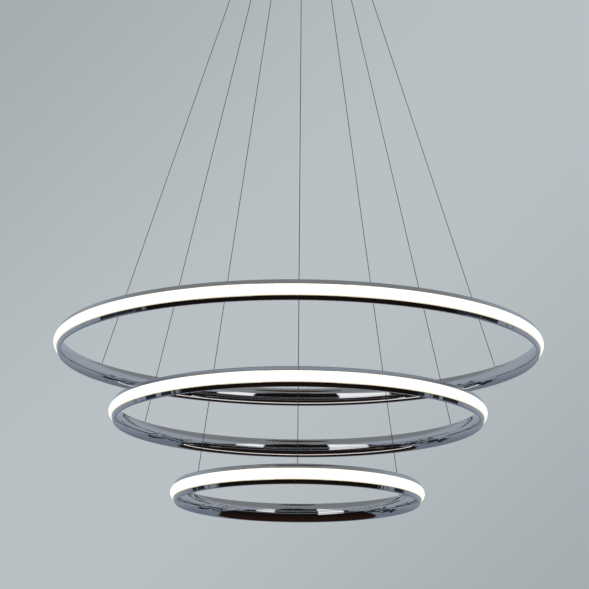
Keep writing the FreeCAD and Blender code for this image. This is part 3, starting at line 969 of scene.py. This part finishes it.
@dataclass(frozen=True)
class MirroredRoom:
    """What the chrome mirrors: a dark front with two lit panels, and pale, striped sides."""

    ceiling: Blend = Blend((0.60, 1.0), (0.030, 0.029, 0.026), (0.31, 0.31, 0.30))
    front_wall: Colour = (0.0075, 0.006, 0.005)
    front_top: Span = (0.58, 0.68)
    front_floor: Colour = (0.020, 0.0085, 0.0065)
    front_foot: Span = (-0.72, -0.30)
    tall_panel: Patch = Patch((-0.74, -0.36), 0.012, (-0.30, 0.46), 0.015, 0.3)
    short_panel: Patch = Patch((0.39, 0.67), 0.012, (0.0, 0.40), 0.015, -0.2)
    panel_light: Colour = (1.0, 1.0, 1.0)
    panel_ahead: Span = (0.2, 0.3)
    side_wall: Blend = Blend((-0.5, 0.3), (0.165, 0.19, 0.24), (0.33, 0.375, 0.43))
    side_top: Span = (0.45, 0.68)
    side_ceiling: Colour = (0.215, 0.225, 0.235)
    thick_stripe: Patch = Patch((-0.45, 0.55), 0.08, (-0.30, -0.08), 0.03, 0.9)
    thick_colour: Colour = (0.02, 0.022, 0.028)
    thin_stripe: Patch = Patch((-0.2, 0.55), 0.08, (-0.02, 0.07), 0.02, 1.1)
    thin_colour: Colour = (0.05, 0.05, 0.055)
    wobble_scale: float = 5.0
    ripple_scale: float = 11.0
    pole_guard: float = 0.0001
    corner: Span = (0.38, 0.46)
    corner_lean: float = 0.9
    corner_wobble: float = 0.25

    def colour(self, shader: Shader, direction: Sock) -> Sock:
        """The room's colour in a direction."""
        x, y, z = shader.split(direction)
        level = (x * x + y * y + self.pole_guard).root()
        ahead = (0.0 - y) / level
        aside = x / level
        wobble = shader.noise(direction, self.wobble_scale, detail=3.0) - NOISE_MIDDLE
        ripple = shader.noise(direction, self.ripple_scale) - NOISE_MIDDLE
        front = shader.mix(z.step(*self.front_top), self.front_wall, self.ceiling.at(shader, z))
        front = shader.mix(1.0 - z.step(*self.front_foot), front, self.front_floor)
        tall = self.tall_panel.cover(aside, z, aside)
        short = self.short_panel.cover(aside, z, aside)
        lit = (tall + short) * ahead.step(*self.panel_ahead)
        front = shader.mix(lit, front, self.panel_light)
        side = shader.mix(z.step(*self.side_top), self.side_wall.at(shader, z), self.side_ceiling)
        thick = self.thick_stripe.cover(ahead, z, wobble)
        thin = self.thin_stripe.cover(ahead, z, ripple)
        side = shader.mix(thick.step(0.0, 1.0), side, self.thick_colour)
        side = shader.mix(thin.step(0.0, 1.0), side, self.thin_colour)
        reach = ahead - z * self.corner_lean + wobble * self.corner_wobble
        return shader.mix(reach.step(*self.corner), side, front)


@dataclass
class Studio:
    """The camera, the soft lamps, the pale floor and the world."""

    focal_pixels: float = 2280.0
    far_clip: float = 100.0
    distance: float = 3.5561
    below_big_ring: float = 0.8130
    side_step: float = -0.00002
    yaw: float = -0.0020
    pitch: float = 0.2486
    roll: float = 0.0083
    floor_height: float = -9.0
    floor_size: float = 80.0
    floor_pale: Colour = (0.60, 0.62, 0.63)
    floor_dull: Colour = (0.56, 0.58, 0.60)
    floor_lift: Colour = (0.33, 0.36, 0.38)
    floor_patches: float = 1.5
    floor_roughness: float = 0.9
    backdrop: Blend = Blend((0.1, 2.3), (0.490, 0.530, 0.556), (0.372, 0.410, 0.432))
    sheen_run: float = 7.7
    sheen_rise: float = 8.0
    sheen_height: float = 0.245
    mirrored: MirroredRoom = MirroredRoom()

    def camera(self, big_ring_height: float) -> None:
        """Put the camera where the photograph was taken.

        Args:
            big_ring_height: the big ring's middle plane.
        """
        data = bpy.data.cameras.new("camera")
        data.sensor_width = SENSOR_WIDTH
        data.lens = self.focal_pixels / IMAGE_SIDE * SENSOR_WIDTH
        data.clip_end = self.far_clip
        forward = Vector(
            (
                math.sin(self.yaw) * math.cos(self.pitch),
                math.cos(self.yaw) * math.cos(self.pitch),
                math.sin(self.pitch),
            )
        )
        level = Vector((math.cos(self.yaw), -math.sin(self.yaw), 0.0))
        upright = level.cross(forward)
        right = math.cos(self.roll) * level + math.sin(self.roll) * upright
        up = math.cos(self.roll) * upright - math.sin(self.roll) * level
        turn = Matrix((right, up, -forward)).transposed().to_4x4()
        place = Vector((self.side_step, -self.distance, big_ring_height - self.below_big_ring))
        eye = bpy.data.objects.new("camera", data)
        eye.matrix_world = Matrix.Translation(place) @ turn
        bpy.context.scene.collection.objects.link(eye)
        bpy.context.scene.camera = eye

    def lamp(self, name: str, place: Place, target: Place, size: float, power: float) -> None:
        """A soft square lamp that doesn't show in the chrome."""
        data = bpy.data.lights.new(name, "AREA")
        data.size = size
        data.energy = power
        lamp = bpy.data.objects.new(name, data)
        lamp.location = place
        lamp.rotation_euler = (Vector(target) - Vector(place)).to_track_quat("-Z", "Y").to_euler()
        lamp.visible_glossy = False
        bpy.context.scene.collection.objects.link(lamp)

    def floor(self) -> None:
        """A plain pale floor, well below the lamp, that the chrome doesn't mirror."""
        half = self.floor_size / 2
        corners = [(-half, -half), (half, -half), (half, half), (-half, half)]
        mesh = bpy.data.meshes.new("floor")
        mesh.from_pydata([(x, y, self.floor_height) for x, y in corners], [], [(0, 1, 2, 3)])
        floor = bpy.data.objects.new("floor", mesh)
        material = bpy.data.materials.new("pale_floor")
        material.use_nodes = True
        shader = Shader(material.node_tree)
        shade = shader.noise(shader.place(), self.floor_patches)
        path = shader.node("ShaderNodeLightPath")
        lift = shader.mix(shader.out(path, "Is Camera Ray"), (0.0, 0.0, 0.0), self.floor_lift)
        pale = shader.node(
            "ShaderNodeBsdfPrincipled",
            {
                "Base Color": shader.mix(shade, self.floor_pale, self.floor_dull),
                "Roughness": self.floor_roughness,
                "Emission Color": lift,
                "Emission Strength": 1.0,
            },
        )
        clear = shader.node("ShaderNodeBsdfTransparent")
        shown = shader.node(
            "ShaderNodeMixShader",
            {0: shader.out(path, "Is Glossy Ray"), 1: pale.outputs[0], 2: clear.outputs[0]},
        )
        shader.node("ShaderNodeOutputMaterial", {0: shown.outputs[0]})
        mesh.materials.append(material)
        bpy.context.scene.collection.objects.link(floor)

    def room(self) -> None:
        """The world: a pale backdrop to look at, and the room that the chrome mirrors."""
        world = bpy.data.worlds.new("room")
        bpy.context.scene.world = world
        world.use_nodes = True
        shader = Shader(world.node_tree)
        direction = shader.out(shader.node("ShaderNodeTexCoord"), "Generated")
        x, _, z = shader.split(direction)
        sheen = abs(x * self.sheen_run - (z - self.sheen_height) * self.sheen_rise)
        seen = shader.out(shader.node("ShaderNodeLightPath"), "Is Camera Ray")
        colour = shader.mix(
            seen, self.mirrored.colour(shader, direction), self.backdrop.at(shader, sheen)
        )
        ground = shader.node("ShaderNodeBackground", {"Color": colour, "Strength": 1.0})
        shader.node("ShaderNodeOutputWorld", {0: ground.outputs[0]})

    def build(self, big_ring_height: float) -> None:
        """Set the view and make everything round the lamp."""
        self.camera(big_ring_height)
        bpy.context.scene.view_settings.view_transform = "Standard"
        self.floor()
        self.room()
        middle = (0.0, 0.0, big_ring_height)
        self.lamp("key_lamp", (-2.2, -2.6, 0.6), middle, size=1.6, power=38.0)
        self.lamp("fill_lamp", (2.6, -1.6, -0.2), middle, size=1.8, power=18.0)


def main() -> None:
    """Build the lamp and the studio in order."""
    logging.basicConfig(level=logging.INFO, format="%(name)s %(relativeCreated).0f ms: %(message)s")
    names = ("big", "medium", "small")
    sweep = ring_recipe()
    rings = [LightRing(name, sweep) for name in names]
    Studio().build(rings[0].middle)
    lay = strand_recipe()
    for name in names:
        WireSet(name, lay).build()
    for ring in rings:
        ring.build()
    Canopy(knurl_recipe()).build(names)


if __name__ == "__main__":
    main()
